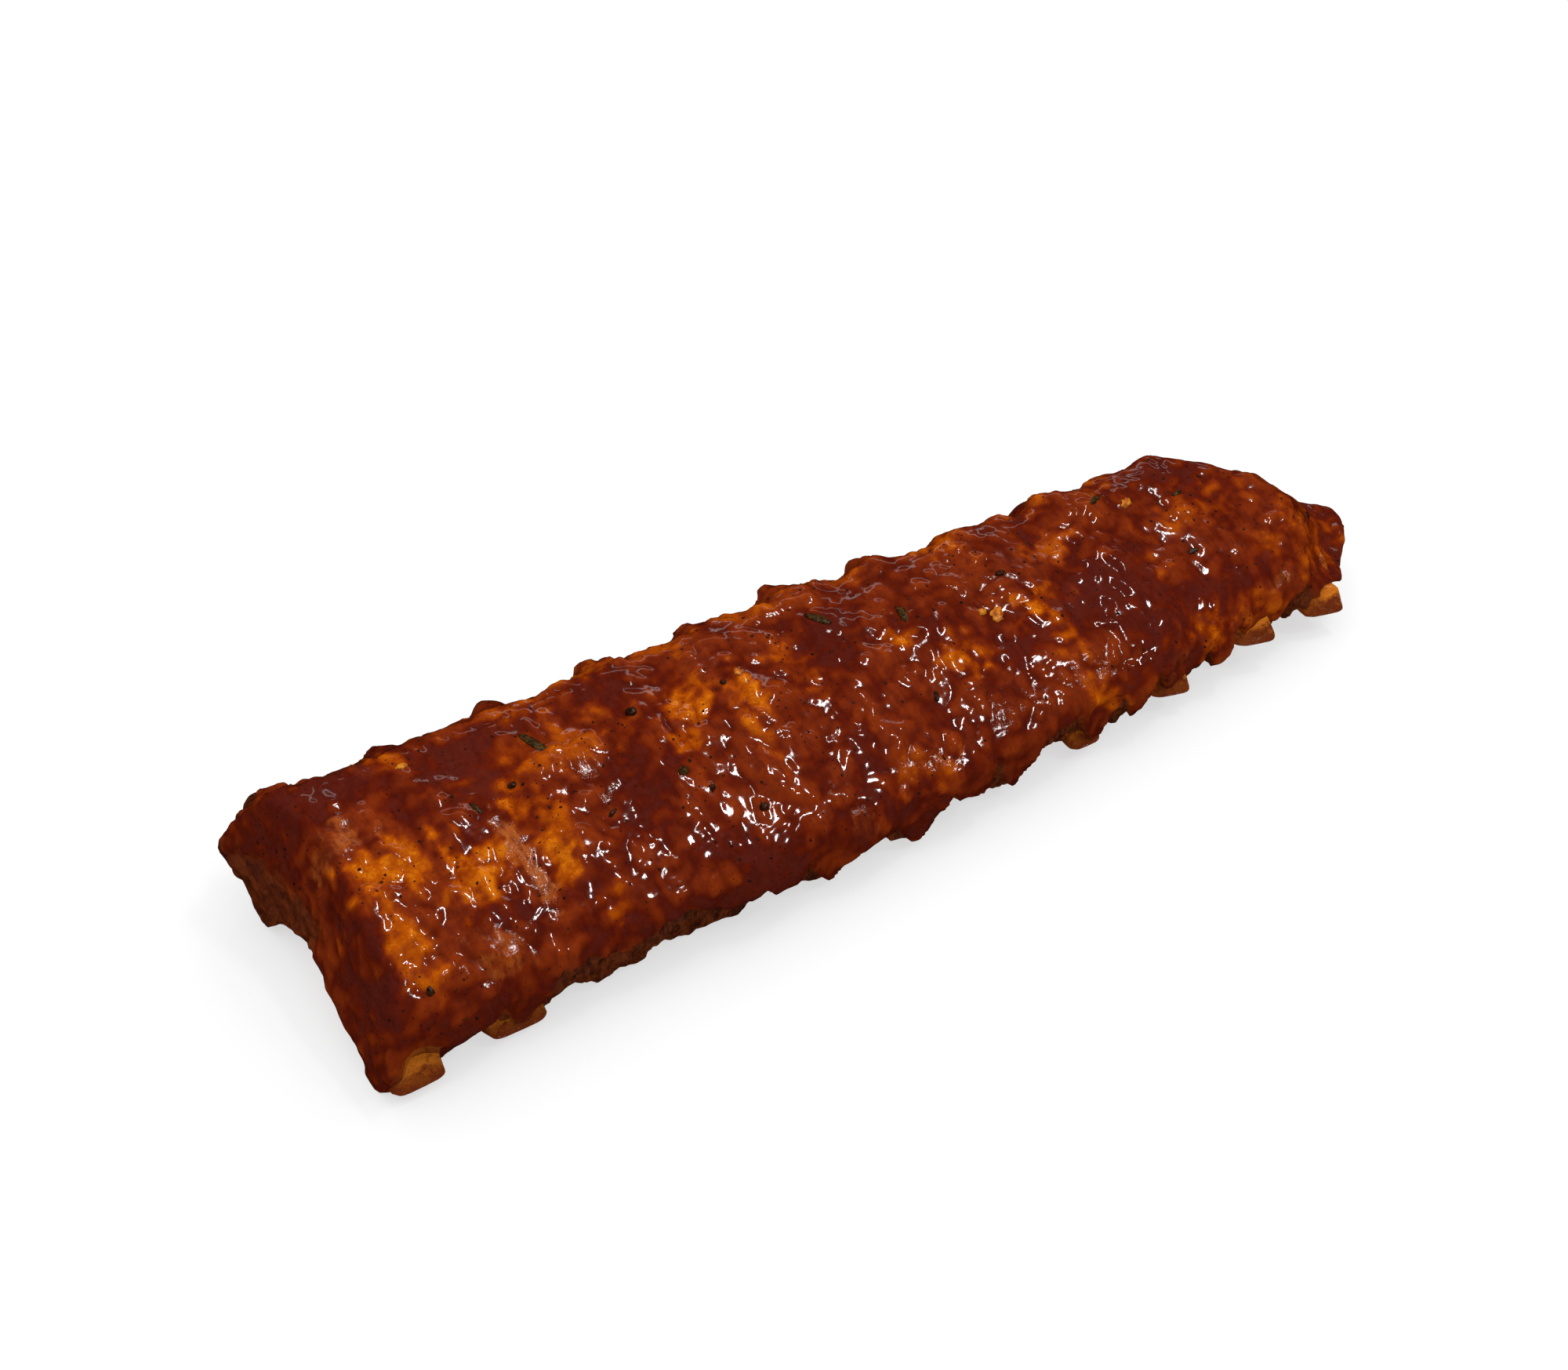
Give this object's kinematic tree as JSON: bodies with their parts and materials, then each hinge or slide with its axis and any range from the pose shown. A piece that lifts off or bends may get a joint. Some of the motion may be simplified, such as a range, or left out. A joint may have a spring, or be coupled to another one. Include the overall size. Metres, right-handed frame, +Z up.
{
  "type": "rack of ribs",
  "caption": "Cooked, glazed rack of pork back ribs lying meat side up: an arched slab of meat with curved rib bones along its hollow underside.",
  "frame": {"origin": "middle of the rack's footprint, on the surface that it lies on", "axes": "+X along the rack from its thick end to its thin end, +Y from the front edge with the sawn bone ends to the thick loin edge, +Z up"},
  "size_m": [0.4078, 0.119, 0.0512],
  "materials": {
    "glazed_meat": "roast meat under a thick, glossy red-brown sauce, amber where the sauce is thin",
    "rib_bone": "cooked bone stained brown, paler where the membrane has pulled away"
  },
  "bodies": {
    "root": {"meat": "glazed_meat", "rib_bone_01": "rib_bone", "rib_bone_02": "rib_bone", "rib_bone_03": "rib_bone", "rib_bone_04": "rib_bone", "rib_bone_05": "rib_bone", "rib_bone_06": "rib_bone", "rib_bone_07": "rib_bone", "rib_bone_08": "rib_bone", "rib_bone_09": "rib_bone", "rib_bone_10": "rib_bone", "rib_bone_11": "rib_bone", "rib_bone_12": "rib_bone"}
  },
  "joints": []
}
